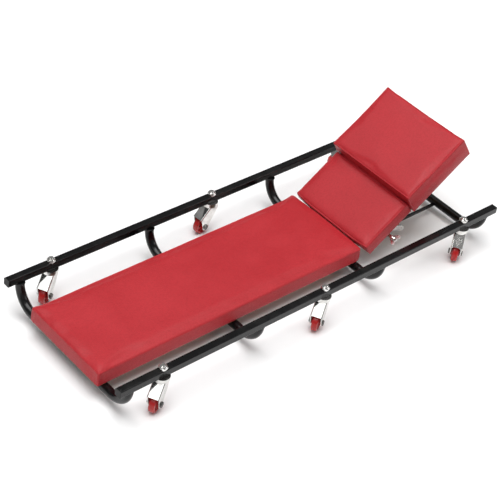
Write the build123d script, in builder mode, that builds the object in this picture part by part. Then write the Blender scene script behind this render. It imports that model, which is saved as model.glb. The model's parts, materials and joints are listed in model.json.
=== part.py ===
from build123d import *
import math
import os

# Mechanics creeper, millimetres.  +X runs from the foot end to the head end, +Y is the left
# side, +Z is up.  The origin is on the floor, under the middle of the frame.

# ---- Frame: two square side rails over four dropped cross tubes ----
OVERALL_LENGTH = 1016.0
OVERALL_WIDTH = 369.0
RAIL_TOP = 90.0
RAIL_SIZE = 16.0
RAIL_WALL = 1.5
RAIL_CORNER = 2.0
TUBE_DIAMETER = 19.0
TUBE_WALL = 1.5
TUBE_BEND = 48.0
TUBE_END_Y = 173.0
TUBE_PLACES = {"foot": -479.0, "hip": -165.0, "shoulder": 165.0, "head": 479.0}
PLUG_FLANGE = 1.5
PLUG_DEPTH = 12.0
PLUG_GAP = 0.1
SUPPORT_ROD_RADIUS = 4.0
SUPPORT_ROD_Y = 42.0
SUPPORT_ROD_Z = 16.4

# ---- Body pad: upholstered board lying on three of the cross tubes ----
PAD_BOTTOM = 33.5
PAD_TOP = 67.0
PAD_FOOT_X = -500.0
PAD_HEAD_X = 176.0
PAD_HALF_WIDTH = 109.0
PAD_CORNER = 10.0
PAD_EDGE = 6.0
BOARD_THICKNESS = 9.0
BOARD_INSET = 3.0
BOARD_CORNER = 8.0
SCREW_Y = 60.0
SCREW_RADIUS = 2.5
SCREW_HEAD_RADIUS = 5.0
SCREW_HEAD_HEIGHT = 2.6
SCREW_GAP = 0.1

# ---- Headrest, drawn in its own axes: u along the board, v away from its underside ----
HINGE_X = 198.5
HINGE_Z = 31.0
TILT = 34.3
BOARD_BOTTOM_V = 2.8
CUSHION_START_U = 8.1
CUSHION_END_U = 138.0
CUSHION_TOP_V = 35.0
CUSHION_HALF_WIDTH = 110.0
PILLOW_END_U = 310.0
PILLOW_TOP_V = 58.4
PILLOW_HALF_WIDTH = 115.0
PILLOW_EDGE = 6.0
HEAD_BOARD_HALF_WIDTH = 106.0

# ---- Hinge lugs, angle brackets and the clamp ----
LUG_INNER_Y = 69.5
LUG_THICKNESS = 3.0
EYE_RADIUS = 6.5
BRACKET_INNER_Y = 73.0
BRACKET_THICKNESS = 2.5
BRACKET_LENGTH = 88.0
BRACKET_DROP = 14.0
BRACKET_FLANGE = 16.5
BRACKET_SCREW_US = (22.0, 50.0, 78.0)
PIN_RADIUS = 3.0
PIN_GAP = 0.06
PIN_HEAD_RADIUS = 5.0
PIN_HEAD_HEIGHT = 1.6
CLAMP_U = 69.0
CLAMP_V = -7.0
CLAMP_END_Y = -126.0
SLEEVE_RADIUS = 5.0
SLEEVE_END_Y = -112.5
WASHER_THICKNESS = 1.2
WING_SPAN = 13.0
WING_LOBE = (8.6, 9.2)
WING_ROOT = (5.2, 4.6)
WING_LEAN = 28.0
WING_BOSS_RADIUS = 6.2
WING_TURN = 30.0

# ---- Prop: two legs and a foot rod that slides on the support rods ----
PROP_LENGTH = 92.0
PROP_LEG_WIDTH = 12.0
PROP_LEG_THICKNESS = 2.8
PROP_FOOT_RADIUS = 4.0
PROP_FOOT_GAP = 0.6

# ---- Casters ----
WHEEL_RADIUS = 20.0
WHEEL_WIDTH = 13.0
HUB_WIDTH = 19.4
HUB_RADIUS = 7.0
DISH_DEPTH = 2.0
DISH_INNER_RADIUS = 8.0
DISH_OUTER_RADIUS = 13.5
LIP_RADIUS = 14.5
TRAIL = 19.5
CASTER_X = 406.0
AXLE_RADIUS = 4.0
FORK_INNER = 10.2
FORK_PLATE = 2.2
FORK_TOP = 67.4
FORK_CROWN = 2.6
CROWN_RADIUS = 15.4
FORK_BACK = 12.0
FORK_BOSS_RADIUS = 8.2
RACE_RADIUS = 16.0
RACE_UNDERSIDE = 70.6
RACE_SKIRT = 1.4
SKIRT_BOTTOM = 67.9
BALL_RADIUS = 2.2
BALL_COUNT = 12
BALL_RING = 11.0
KINGPIN_RADIUS = 4.9
KINGPIN_TOP = 99.5
KINGPIN_HEAD_RADIUS = 8.0
KINGPIN_HEAD_HEIGHT = 2.4
NUT_FLATS = 16.0
NUT_HEIGHT = 6.5
RUNNING_GAP = 0.08
# Each caster's place along and across the frame, and the way that its wheel trails, in degrees.
CASTERS = {
    "foot_right": (-CASTER_X, -1, 208.0),
    "middle_right": (0.0, -1, 210.0),
    "head_right": (CASTER_X, -1, 217.0),
    "foot_left": (-CASTER_X, 1, 210.0),
    "middle_left": (0.0, 1, 186.0),
    "head_left": (CASTER_X, 1, 143.0),
}

# ---- Worked out from the sizes above ----
RAIL_LENGTH = OVERALL_LENGTH - 2 * PLUG_FLANGE
RAIL_Y = (OVERALL_WIDTH - RAIL_SIZE) / 2
RAIL_BOTTOM = RAIL_TOP - RAIL_SIZE
RAIL_BORE = RAIL_SIZE - 2 * RAIL_WALL
TUBE_RADIUS = TUBE_DIAMETER / 2
TUBE_Z = PAD_BOTTOM - TUBE_RADIUS
FORK_OUTER = FORK_INNER + FORK_PLATE
BALL_Z = (RACE_UNDERSIDE + FORK_TOP) / 2
BOARD_TOP_V = BOARD_BOTTOM_V + BOARD_THICKNESS
HEAD_BOARD_START_U = CUSHION_START_U + BOARD_INSET
HEAD_BOARD_END_U = PILLOW_END_U - BOARD_INSET
COS_TILT = math.cos(math.radians(TILT))
SIN_TILT = math.sin(math.radians(TILT))
CLAMP_X = HINGE_X + CLAMP_U * COS_TILT - CLAMP_V * SIN_TILT
CLAMP_Z = HINGE_Z + CLAMP_U * SIN_TILT + CLAMP_V * COS_TILT
PROP_FOOT_Z = SUPPORT_ROD_Z + SUPPORT_ROD_RADIUS + PROP_FOOT_GAP + PROP_FOOT_RADIUS
PROP_DROP = CLAMP_Z - PROP_FOOT_Z
PROP_ANGLE = -math.degrees(math.asin(PROP_DROP / PROP_LENGTH))
PROP_FOOT_X = CLAMP_X + math.sqrt(PROP_LENGTH**2 - PROP_DROP**2)


def side_plane(y, x=0.0, z=0.0, turn=0.0):
    """A drawing plane across the frame: first axis forwards, second up, turned about Y."""
    c, s = math.cos(math.radians(turn)), math.sin(math.radians(turn))
    return Plane(origin=(x, y, z), x_dir=(c, 0, s), z_dir=(0, -1, 0))


def headrest_side(y):
    """The headrest's own u, v plane at the distance y from the middle."""
    return side_plane(y, HINGE_X, HINGE_Z, TILT)


def headrest_flat(v):
    """A plane along the headrest board, the distance v from the hinge: u, then Y."""
    origin = (HINGE_X - v * SIN_TILT, 0, HINGE_Z + v * COS_TILT)
    return Plane(origin=origin, x_dir=(COS_TILT, 0, SIN_TILT), z_dir=(-SIN_TILT, 0, COS_TILT))


def save(piece, name):
    """Label a finished piece and write its file."""
    piece.part.label = name
    export_step(piece.part, f"parts/{name}.step")


os.makedirs("parts", exist_ok=True)


# ---- Side rails and their end plugs ----
for side, name in ((1, "side_rail_left"), (-1, "side_rail_right")):
    with BuildPart() as rail:
        with BuildSketch(Plane.YZ.offset(-RAIL_LENGTH / 2)):
            with Locations((side * RAIL_Y, RAIL_TOP - RAIL_SIZE / 2)):
                RectangleRounded(RAIL_SIZE, RAIL_SIZE, RAIL_CORNER)
                RectangleRounded(RAIL_BORE, RAIL_BORE, RAIL_CORNER - RAIL_WALL, mode=Mode.SUBTRACT)
        extrude(amount=RAIL_LENGTH)
        with BuildSketch(Plane.XY.offset(RAIL_BOTTOM)):
            with Locations(*[(x, side * RAIL_Y) for x in (-CASTER_X, 0, CASTER_X)]):
                Circle(KINGPIN_RADIUS + 2 * RUNNING_GAP)
        extrude(amount=RAIL_SIZE, mode=Mode.SUBTRACT)
    save(rail, name)

with BuildPart() as plugs:
    for end in (-1, 1):
        with BuildSketch(Plane.YZ.offset(end * RAIL_LENGTH / 2)):
            with Locations(*[(side * RAIL_Y, RAIL_TOP - RAIL_SIZE / 2) for side in (-1, 1)]):
                RectangleRounded(RAIL_SIZE, RAIL_SIZE, RAIL_CORNER)
        extrude(amount=end * PLUG_FLANGE)
        with BuildSketch(Plane.YZ.offset(end * RAIL_LENGTH / 2)):
            with Locations(*[(side * RAIL_Y, RAIL_TOP - RAIL_SIZE / 2) for side in (-1, 1)]):
                RectangleRounded(RAIL_BORE - 2 * PLUG_GAP, RAIL_BORE - 2 * PLUG_GAP, 1.0)
                Rectangle(RAIL_BORE - 4, RAIL_BORE - 4, mode=Mode.SUBTRACT)
        extrude(amount=-end * PLUG_DEPTH)
    chamfer(plugs.faces().sort_by(Axis.X)[0].edges(), 0.5)
    chamfer(plugs.faces().sort_by(Axis.X)[-1].edges(), 0.5)
save(plugs, "end_plugs")


# ---- Cross tubes: a flat run under the pad, bent up to the rails at both ends ----
for name, place in TUBE_PLACES.items():
    with BuildPart() as tube:
        with BuildLine(Plane.YZ.offset(place)):
            FilletPolyline(
                (-TUBE_END_Y, RAIL_BOTTOM),
                (-TUBE_END_Y, TUBE_Z),
                (TUBE_END_Y, TUBE_Z),
                (TUBE_END_Y, RAIL_BOTTOM),
                radius=TUBE_BEND,
            )
        with BuildSketch(Plane(origin=(place, -TUBE_END_Y, RAIL_BOTTOM), z_dir=(0, 0, -1))):
            Circle(TUBE_RADIUS)
            Circle(TUBE_RADIUS - TUBE_WALL, mode=Mode.SUBTRACT)
        sweep()
        if name != "head":
            with BuildSketch(Plane.XY.offset(TUBE_Z - 2 * TUBE_RADIUS)):
                with Locations((place, SCREW_Y), (place, -SCREW_Y)):
                    Circle(SCREW_RADIUS + SCREW_GAP)
            extrude(amount=4 * TUBE_RADIUS, mode=Mode.SUBTRACT)
    save(tube, f"cross_tube_{name}")

for side, name in ((1, "support_rod_left"), (-1, "support_rod_right")):
    with BuildPart() as support:
        with BuildSketch(Plane.YZ.offset(TUBE_PLACES["shoulder"])):
            with Locations((side * SUPPORT_ROD_Y, SUPPORT_ROD_Z)):
                Circle(SUPPORT_ROD_RADIUS)
        extrude(amount=TUBE_PLACES["head"] - TUBE_PLACES["shoulder"])
        for place in (TUBE_PLACES["shoulder"], TUBE_PLACES["head"]):
            with BuildSketch(Plane.XZ.offset(-OVERALL_WIDTH / 2)):
                with Locations((place, TUBE_Z)):
                    Circle(TUBE_RADIUS)
            extrude(amount=OVERALL_WIDTH, mode=Mode.SUBTRACT)
    save(support, name)


# ---- Body board, its pad and the screws through the cross tubes ----
PAD_LENGTH = PAD_HEAD_X - PAD_FOOT_X
PAD_MIDDLE_X = (PAD_HEAD_X + PAD_FOOT_X) / 2
SCREW_PLACES = [
    (TUBE_PLACES[name], side * SCREW_Y) for name in ("foot", "hip", "shoulder") for side in (-1, 1)
]

with BuildPart() as board:
    with BuildSketch(Plane.XY.offset(PAD_BOTTOM)):
        with Locations((PAD_MIDDLE_X, 0)):
            RectangleRounded(
                PAD_LENGTH - 2 * BOARD_INSET, 2 * (PAD_HALF_WIDTH - BOARD_INSET), BOARD_CORNER
            )
    extrude(amount=BOARD_THICKNESS)
    with BuildSketch(Plane.XY.offset(PAD_BOTTOM)):
        with Locations(*SCREW_PLACES):
            Circle(SCREW_RADIUS + SCREW_GAP)
    extrude(amount=BOARD_THICKNESS, mode=Mode.SUBTRACT)
save(board, "body_board")

with BuildPart() as pad:
    with BuildSketch(Plane.XY.offset(PAD_BOTTOM)):
        with Locations((PAD_MIDDLE_X, 0)):
            RectangleRounded(PAD_LENGTH, 2 * PAD_HALF_WIDTH, PAD_CORNER)
    extrude(amount=PAD_TOP - PAD_BOTTOM)
    fillet(pad.faces().sort_by(Axis.Z)[-1].edges(), PAD_EDGE)
    with BuildSketch(Plane.XY.offset(PAD_BOTTOM)):
        with Locations((PAD_MIDDLE_X, 0)):
            RectangleRounded(
                PAD_LENGTH - 2 * BOARD_INSET, 2 * (PAD_HALF_WIDTH - BOARD_INSET), BOARD_CORNER
            )
    extrude(amount=BOARD_THICKNESS, mode=Mode.SUBTRACT)
save(pad, "body_pad")

with BuildPart() as screws:
    with BuildSketch(Plane.XY.offset(TUBE_Z - TUBE_RADIUS)):
        with Locations(*SCREW_PLACES):
            Circle(SCREW_RADIUS)
    extrude(amount=2 * TUBE_RADIUS + BOARD_THICKNESS - 1)
    with BuildSketch(Plane.XY.offset(TUBE_Z - TUBE_RADIUS)):
        with Locations(*SCREW_PLACES):
            Circle(SCREW_HEAD_RADIUS)
    extrude(amount=-SCREW_HEAD_HEIGHT)
    fillet(screws.faces().sort_by(Axis.Z)[:6].edges(), 1.0)
save(screws, "pad_screws")


# ---- Hinge lugs, welded to the shoulder tube ----
with BuildPart() as lugs:
    for side in (-1, 1):
        y = side * (LUG_INNER_Y + LUG_THICKNESS / 2)
        with BuildSketch(side_plane(y)):
            with BuildLine():
                Polyline(
                    (TUBE_PLACES["shoulder"] + 4, TUBE_Z + 7),
                    (HINGE_X, HINGE_Z + EYE_RADIUS),
                    (HINGE_X + EYE_RADIUS, HINGE_Z),
                    (HINGE_X, HINGE_Z - EYE_RADIUS),
                    (TUBE_PLACES["shoulder"] + 4, TUBE_Z - 7),
                    close=True,
                )
            make_face()
            with Locations((HINGE_X, HINGE_Z)):
                Circle(EYE_RADIUS)
                Circle(PIN_RADIUS + PIN_GAP, mode=Mode.SUBTRACT)
        extrude(amount=LUG_THICKNESS / 2, both=True)
    with BuildSketch(Plane.XZ.offset(-OVERALL_WIDTH / 2)):
        with Locations((TUBE_PLACES["shoulder"], TUBE_Z)):
            Circle(TUBE_RADIUS)
    extrude(amount=OVERALL_WIDTH, mode=Mode.SUBTRACT)
save(lugs, "hinge_lugs")


# ---- Headrest board and its two cushions ----
HEAD_BOARD_LENGTH = HEAD_BOARD_END_U - HEAD_BOARD_START_U
HEAD_BOARD_MIDDLE = (HEAD_BOARD_END_U + HEAD_BOARD_START_U) / 2
BRACKET_SCREW_Y = BRACKET_INNER_Y + BRACKET_THICKNESS + BRACKET_FLANGE / 2
BRACKET_SCREWS = [(u, side * BRACKET_SCREW_Y) for u in BRACKET_SCREW_US for side in (-1, 1)]

with BuildPart() as head_board:
    with BuildSketch(headrest_flat(BOARD_BOTTOM_V)):
        with Locations((HEAD_BOARD_MIDDLE, 0)):
            RectangleRounded(HEAD_BOARD_LENGTH, 2 * HEAD_BOARD_HALF_WIDTH, BOARD_CORNER)
    extrude(amount=BOARD_THICKNESS)
    with BuildSketch(headrest_flat(BOARD_BOTTOM_V)):
        with Locations(*BRACKET_SCREWS):
            Circle(SCREW_RADIUS + SCREW_GAP)
    extrude(amount=BOARD_THICKNESS - 2, mode=Mode.SUBTRACT)
save(head_board, "headrest_board")


def cushion(start, end, half_width, top, edge, corner):
    """A closed cushion over the headrest board, with the board's own space cut out of it."""
    with BuildPart() as piece:
        with BuildSketch(headrest_flat(BOARD_BOTTOM_V)):
            with Locations(((start + end) / 2, 0)):
                RectangleRounded(end - start, 2 * half_width, corner)
        extrude(amount=top - BOARD_BOTTOM_V)
        upper = piece.faces().filter_by(headrest_flat(0)).sort_by(SortBy.DISTANCE)
        fillet(max(upper, key=lambda face: face.center().Z - face.center().X).edges(), edge)
        with BuildSketch(headrest_flat(BOARD_BOTTOM_V)):
            with Locations((HEAD_BOARD_MIDDLE, 0)):
                RectangleRounded(HEAD_BOARD_LENGTH, 2 * HEAD_BOARD_HALF_WIDTH, BOARD_CORNER)
        extrude(amount=BOARD_THICKNESS, mode=Mode.SUBTRACT)
    return piece


save(
    cushion(CUSHION_START_U, CUSHION_END_U, CUSHION_HALF_WIDTH, CUSHION_TOP_V, PAD_EDGE, 6.0),
    "headrest_cushion",
)
save(
    cushion(CUSHION_END_U, PILLOW_END_U, PILLOW_HALF_WIDTH, PILLOW_TOP_V, PILLOW_EDGE, 5.0),
    "headrest_pillow",
)


# ---- Angle brackets under the headrest board, with their screws and hinge pins ----
for side, name in ((1, "headrest_bracket_left"), (-1, "headrest_bracket_right")):
    flange_y = side * (BRACKET_INNER_Y + BRACKET_THICKNESS / 2)
    with BuildPart() as bracket:
        with BuildSketch(headrest_side(flange_y)):
            with BuildLine():
                Polyline(
                    (0, -EYE_RADIUS),
                    (CLAMP_U - 9, -BRACKET_DROP),
                    (CLAMP_U + 9, -BRACKET_DROP),
                    (BRACKET_LENGTH, CLAMP_V),
                    (BRACKET_LENGTH, BOARD_BOTTOM_V),
                    (EYE_RADIUS, BOARD_BOTTOM_V),
                    (0, EYE_RADIUS),
                    close=True,
                )
            make_face()
            Circle(EYE_RADIUS)
            with Locations((0, 0), (CLAMP_U, CLAMP_V)):
                Circle(PIN_RADIUS + PIN_GAP, mode=Mode.SUBTRACT)
        extrude(amount=BRACKET_THICKNESS / 2, both=True)
        with BuildSketch(headrest_flat(BOARD_BOTTOM_V)):
            with Locations(((HEAD_BOARD_START_U + BRACKET_LENGTH) / 2, side * BRACKET_SCREW_Y)):
                Rectangle(BRACKET_LENGTH - HEAD_BOARD_START_U, BRACKET_FLANGE)
            with Locations(*[(u, side * BRACKET_SCREW_Y) for u in BRACKET_SCREW_US]):
                Circle(SCREW_RADIUS + SCREW_GAP, mode=Mode.SUBTRACT)
        extrude(amount=-BRACKET_THICKNESS)
    save(bracket, name)

with BuildPart() as bracket_screws:
    with BuildSketch(headrest_flat(BOARD_BOTTOM_V - BRACKET_THICKNESS)):
        with Locations(*BRACKET_SCREWS):
            Circle(SCREW_RADIUS)
    extrude(amount=BRACKET_THICKNESS + BOARD_THICKNESS - 3)
    with BuildSketch(headrest_flat(BOARD_BOTTOM_V - BRACKET_THICKNESS)):
        with Locations(*BRACKET_SCREWS):
            Circle(SCREW_HEAD_RADIUS - 0.5)
    extrude(amount=-SCREW_HEAD_HEIGHT)
save(bracket_screws, "bracket_screws")

with BuildPart() as pins:
    for side in (-1, 1):
        with BuildSketch(headrest_side(side * (LUG_INNER_Y - 2))):
            Circle(PIN_RADIUS)
        pin_length = BRACKET_INNER_Y + BRACKET_THICKNESS - LUG_INNER_Y + 3
        extrude(amount=-side * pin_length)
        for start, out in ((LUG_INNER_Y - 0.3, -1), (BRACKET_INNER_Y + BRACKET_THICKNESS + 0.1, 1)):
            with BuildSketch(headrest_side(side * start)):
                Circle(PIN_HEAD_RADIUS)
            extrude(amount=-side * out * PIN_HEAD_HEIGHT)
save(pins, "hinge_pins")


# ---- Clamp rod, its spacer sleeve, washers and wing nut ----
clamp_head_y = BRACKET_INNER_Y + BRACKET_THICKNESS + WASHER_THICKNESS + 0.2
with BuildPart() as clamp_rod:
    with BuildSketch(side_plane(CLAMP_END_Y, CLAMP_X, CLAMP_Z)):
        Circle(PIN_RADIUS)
    extrude(amount=-(clamp_head_y - CLAMP_END_Y))
    chamfer(clamp_rod.faces().sort_by(Axis.Y)[0].edges(), 0.8)
    with BuildSketch(side_plane(clamp_head_y, CLAMP_X, CLAMP_Z)):
        RegularPolygon(5, 6, major_radius=False)
    extrude(amount=-4)
save(clamp_rod, "clamp_rod")

sleeve_start_y = -(BRACKET_INNER_Y + BRACKET_THICKNESS + 0.1)
with BuildPart() as sleeve:
    with BuildSketch(side_plane(sleeve_start_y, CLAMP_X, CLAMP_Z)):
        Circle(SLEEVE_RADIUS)
        Circle(PIN_RADIUS + PIN_GAP, mode=Mode.SUBTRACT)
    extrude(amount=sleeve_start_y - SLEEVE_END_Y)
save(sleeve, "clamp_sleeve")

with BuildPart() as washers:
    for y in (SLEEVE_END_Y, clamp_head_y - 0.1):
        with BuildSketch(side_plane(y, CLAMP_X, CLAMP_Z)):
            Circle(SLEEVE_RADIUS + 1.2)
            Circle(PIN_RADIUS + PIN_GAP, mode=Mode.SUBTRACT)
        extrude(amount=WASHER_THICKNESS)
save(washers, "clamp_washers")

nut_y = SLEEVE_END_Y - WASHER_THICKNESS - 0.2
wing_cos, wing_sin = math.cos(math.radians(WING_TURN)), math.sin(math.radians(WING_TURN))
wing_plane = Plane(
    origin=(CLAMP_X, nut_y, CLAMP_Z),
    x_dir=(wing_cos, 0, wing_sin),
    z_dir=(wing_sin, 0, -wing_cos),
)
with BuildPart() as wing_nut:
    with BuildSketch(side_plane(nut_y, CLAMP_X, CLAMP_Z)):
        Circle(WING_BOSS_RADIUS)
    extrude(amount=7.5, taper=8)
    with BuildSketch(wing_plane):
        for sign in (-1, 1):
            with Locations((sign * WING_LOBE[0], WING_LOBE[1])):
                Ellipse(WING_SPAN - WING_LOBE[0], 5.0, rotation=-sign * WING_LEAN)
            with Locations((sign * WING_ROOT[0], WING_ROOT[1])):
                Rectangle(6.5, 6.4, rotation=-sign * WING_LEAN)
    extrude(amount=1.2, both=True)
    with BuildSketch(side_plane(nut_y + 1, CLAMP_X, CLAMP_Z)):
        Circle(PIN_RADIUS + PIN_GAP)
    extrude(amount=20, mode=Mode.SUBTRACT)
save(wing_nut, "wing_nut")


# ---- Prop under the headrest ----
for side, name in ((1, "prop_leg_left"), (-1, "prop_leg_right")):
    leg_y = side * (BRACKET_INNER_Y - 0.3 - PROP_LEG_THICKNESS / 2)
    with BuildPart() as leg:
        with BuildSketch(side_plane(leg_y, CLAMP_X, CLAMP_Z, PROP_ANGLE)):
            with Locations((PROP_LENGTH / 2, 0)):
                SlotCenterToCenter(PROP_LENGTH, PROP_LEG_WIDTH)
            Circle(PIN_RADIUS + PIN_GAP, mode=Mode.SUBTRACT)
            with Locations((PROP_LENGTH, 0)):
                Circle(PROP_FOOT_RADIUS, mode=Mode.SUBTRACT)
        extrude(amount=PROP_LEG_THICKNESS / 2, both=True)
    save(leg, name)

with BuildPart() as foot_rod:
    with BuildSketch(side_plane(0, PROP_FOOT_X, PROP_FOOT_Z)):
        Circle(PROP_FOOT_RADIUS)
    extrude(amount=BRACKET_INNER_Y - 0.3, both=True)
save(foot_rod, "prop_foot_rod")


# ---- Caster stems on the frame: kingpins, races, washers and nuts ----
STEM_PLACES = [(x, side * RAIL_Y) for x, side, _ in CASTERS.values()]

with BuildPart() as kingpins:
    crown_underside = FORK_TOP - FORK_CROWN - 0.1
    with BuildSketch(Plane.XY.offset(crown_underside)):
        with Locations(*STEM_PLACES):
            Circle(KINGPIN_RADIUS)
    extrude(amount=KINGPIN_TOP - crown_underside)
    chamfer(kingpins.faces().sort_by(Axis.Z)[-6:].edges(), 1.0)
    with BuildSketch(Plane.XY.offset(crown_underside)):
        with Locations(*STEM_PLACES):
            Circle(KINGPIN_HEAD_RADIUS)
    extrude(amount=-KINGPIN_HEAD_HEIGHT)
save(kingpins, "kingpins")

with BuildPart() as races:
    with BuildSketch(Plane.XY.offset(RACE_UNDERSIDE)):
        with Locations(*STEM_PLACES):
            Circle(RACE_RADIUS)
            Circle(KINGPIN_RADIUS + RUNNING_GAP, mode=Mode.SUBTRACT)
    extrude(amount=RAIL_BOTTOM - RACE_UNDERSIDE)
    with BuildSketch(Plane.XY.offset(RACE_UNDERSIDE)):
        with Locations(*STEM_PLACES):
            Circle(RACE_RADIUS)
            Circle(RACE_RADIUS - RACE_SKIRT, mode=Mode.SUBTRACT)
    extrude(amount=SKIRT_BOTTOM - RACE_UNDERSIDE)
    with Locations(*[(x, y, BALL_Z) for x, y in STEM_PLACES]):
        Torus(BALL_RING, BALL_RADIUS + RUNNING_GAP, mode=Mode.SUBTRACT)
save(races, "upper_races")

with BuildPart() as stem_washers:
    with BuildSketch(Plane.XY.offset(RAIL_TOP)):
        with Locations(*STEM_PLACES):
            Circle(RAIL_SIZE / 2)
            Circle(KINGPIN_RADIUS + RUNNING_GAP, mode=Mode.SUBTRACT)
    extrude(amount=WASHER_THICKNESS)
save(stem_washers, "stem_washers")

with BuildPart() as stem_nuts:
    with BuildSketch(Plane.XY.offset(RAIL_TOP + WASHER_THICKNESS)):
        with Locations(*STEM_PLACES):
            RegularPolygon(NUT_FLATS / 2, 6, major_radius=False, rotation=12)
    extrude(amount=NUT_HEIGHT)
    with BuildSketch(Plane.XY.offset(RAIL_TOP + WASHER_THICKNESS)):
        with Locations(*STEM_PLACES):
            Circle(NUT_FLATS / 2 + 4)
    extrude(amount=NUT_HEIGHT, taper=40, mode=Mode.INTERSECT)
    with BuildSketch(Plane.XY.offset(RAIL_TOP + WASHER_THICKNESS)):
        with Locations(*STEM_PLACES):
            Circle(KINGPIN_RADIUS + RUNNING_GAP)
    extrude(amount=NUT_HEIGHT, mode=Mode.SUBTRACT)
save(stem_nuts, "stem_nuts")


# ---- Swivel forks, balls, axles and wheels ----
WEB_TOP = (9.5, FORK_TOP)
WEB_END = (35.0, 43.0)
web_length = math.dist(WEB_TOP, WEB_END)
web_along = ((WEB_END[0] - WEB_TOP[0]) / web_length, (WEB_END[1] - WEB_TOP[1]) / web_length)
web_inward = (web_along[1] * FORK_PLATE, -web_along[0] * FORK_PLATE)


def turned(place, heading):
    """A plane on the floor under one caster, with its first axis along the trail."""
    c, s = math.cos(math.radians(heading)), math.sin(math.radians(heading))
    return Plane(origin=(place[0], place[1], 0), x_dir=(c, s, 0), z_dir=(0, 0, 1))


def fork_side(floor):
    """The caster's upright plane: along the trail, then up."""
    return Plane(origin=floor.origin, x_dir=floor.x_dir, z_dir=-floor.y_dir)


for name, (x, side, heading) in CASTERS.items():
    floor = turned((x, side * RAIL_Y), heading)
    upright = fork_side(floor)

    with BuildPart() as fork:
        with BuildSketch(upright):
            with BuildLine():
                Polyline(
                    (-FORK_BACK, FORK_TOP),
                    WEB_TOP,
                    WEB_END,
                    (WEB_END[0] - 1.6, WEB_END[1] - 2.4),
                    (TRAIL + FORK_BOSS_RADIUS, WHEEL_RADIUS),
                    (TRAIL - FORK_BOSS_RADIUS, WHEEL_RADIUS),
                    (-FORK_BACK, FORK_TOP - 8),
                    close=True,
                )
            make_face()
            with Locations((TRAIL, WHEEL_RADIUS)):
                Circle(FORK_BOSS_RADIUS)
        extrude(amount=FORK_OUTER, both=True)
        rim = fork.edges().filter_by(upright, reverse=False)
        web_rim = [
            e for e in rim
            if abs(abs(floor.to_local_coords(e.center()).Y) - FORK_OUTER) < 0.01
            and e.center().Z > WEB_END[1] and floor.to_local_coords(e.center()).X > -8
        ]
        fillet(web_rim, 2.4)
        with BuildSketch(upright):
            with BuildLine():
                reach = 1.6
                inner_top = (WEB_TOP[0] + web_inward[0], WEB_TOP[1] + web_inward[1])
                drop = (inner_top[1] - (FORK_TOP - FORK_CROWN)) / -web_along[1]
                Polyline(
                    (-40, FORK_TOP - FORK_CROWN),
                    (inner_top[0] + drop * web_along[0], FORK_TOP - FORK_CROWN),
                    (
                        inner_top[0] + reach * web_length * web_along[0],
                        inner_top[1] + reach * web_length * web_along[1],
                    ),
                    (inner_top[0] + reach * web_length * web_along[0], -10),
                    (-40, -10),
                    close=True,
                )
            make_face()
        extrude(amount=FORK_INNER, both=True, mode=Mode.SUBTRACT)
        with BuildSketch(floor.offset(FORK_TOP - FORK_CROWN)):
            Circle(CROWN_RADIUS)
        extrude(amount=FORK_CROWN)
        with BuildSketch(floor.offset(FORK_TOP - FORK_CROWN - 1)):
            Circle(KINGPIN_RADIUS + RUNNING_GAP)
        extrude(amount=FORK_CROWN + 2, mode=Mode.SUBTRACT)
        with BuildSketch(upright):
            with Locations((TRAIL, WHEEL_RADIUS)):
                Circle(AXLE_RADIUS + RUNNING_GAP)
        extrude(amount=2 * FORK_OUTER, both=True, mode=Mode.SUBTRACT)
        with Locations(floor.offset(BALL_Z)):
            Torus(BALL_RING, BALL_RADIUS + RUNNING_GAP, mode=Mode.SUBTRACT)
    save(fork, f"fork_{name}")

    with BuildPart() as balls:
        with Locations(floor.offset(BALL_Z)):
            with PolarLocations(BALL_RING, BALL_COUNT):
                Sphere(BALL_RADIUS)
    save(balls, f"race_balls_{name}")

    with BuildPart() as axle:
        with BuildSketch(upright):
            with Locations((TRAIL, WHEEL_RADIUS)):
                Circle(AXLE_RADIUS)
        extrude(amount=FORK_OUTER + 0.2, both=True)
        for way in (-1, 1):
            with BuildSketch(upright.offset(way * (FORK_OUTER + 0.1))):
                with Locations((TRAIL, WHEEL_RADIUS)):
                    Circle(AXLE_RADIUS + 2.4)
            extrude(amount=way * 2.6, taper=22)
    save(axle, f"axle_{name}")

    wheel_plane = Plane(
        origin=upright.from_local_coords((TRAIL, WHEEL_RADIUS, 0)),
        x_dir=upright.z_dir,
        z_dir=upright.x_dir,
    )
    with BuildPart() as wheel:
        with BuildSketch(wheel_plane):
            with BuildLine():
                bore = AXLE_RADIUS + RUNNING_GAP
                rim_half = WHEEL_WIDTH / 2
                Polyline(
                    (-HUB_WIDTH / 2, bore),
                    (-HUB_WIDTH / 2, HUB_RADIUS),
                    (-rim_half + DISH_DEPTH, DISH_INNER_RADIUS),
                    (-rim_half + DISH_DEPTH, DISH_OUTER_RADIUS),
                    (-rim_half, LIP_RADIUS),
                    (-rim_half, WHEEL_RADIUS - 2.5),
                )
                ThreePointArc(
                    (-rim_half, WHEEL_RADIUS - 2.5),
                    (-rim_half + 0.8, WHEEL_RADIUS - 0.8),
                    (-rim_half + 2.8, WHEEL_RADIUS),
                )
                Line((-rim_half + 2.8, WHEEL_RADIUS), (rim_half - 2.8, WHEEL_RADIUS))
                ThreePointArc(
                    (rim_half - 2.8, WHEEL_RADIUS),
                    (rim_half - 0.8, WHEEL_RADIUS - 0.8),
                    (rim_half, WHEEL_RADIUS - 2.5),
                )
                Polyline(
                    (rim_half, WHEEL_RADIUS - 2.5),
                    (rim_half, LIP_RADIUS),
                    (rim_half - DISH_DEPTH, DISH_OUTER_RADIUS),
                    (rim_half - DISH_DEPTH, DISH_INNER_RADIUS),
                    (HUB_WIDTH / 2, HUB_RADIUS),
                    (HUB_WIDTH / 2, bore),
                    (-HUB_WIDTH / 2, bore),
                )
            make_face()
        revolve(axis=Axis(wheel_plane.origin, wheel_plane.x_dir))
    save(wheel, f"wheel_{name}")
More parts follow.
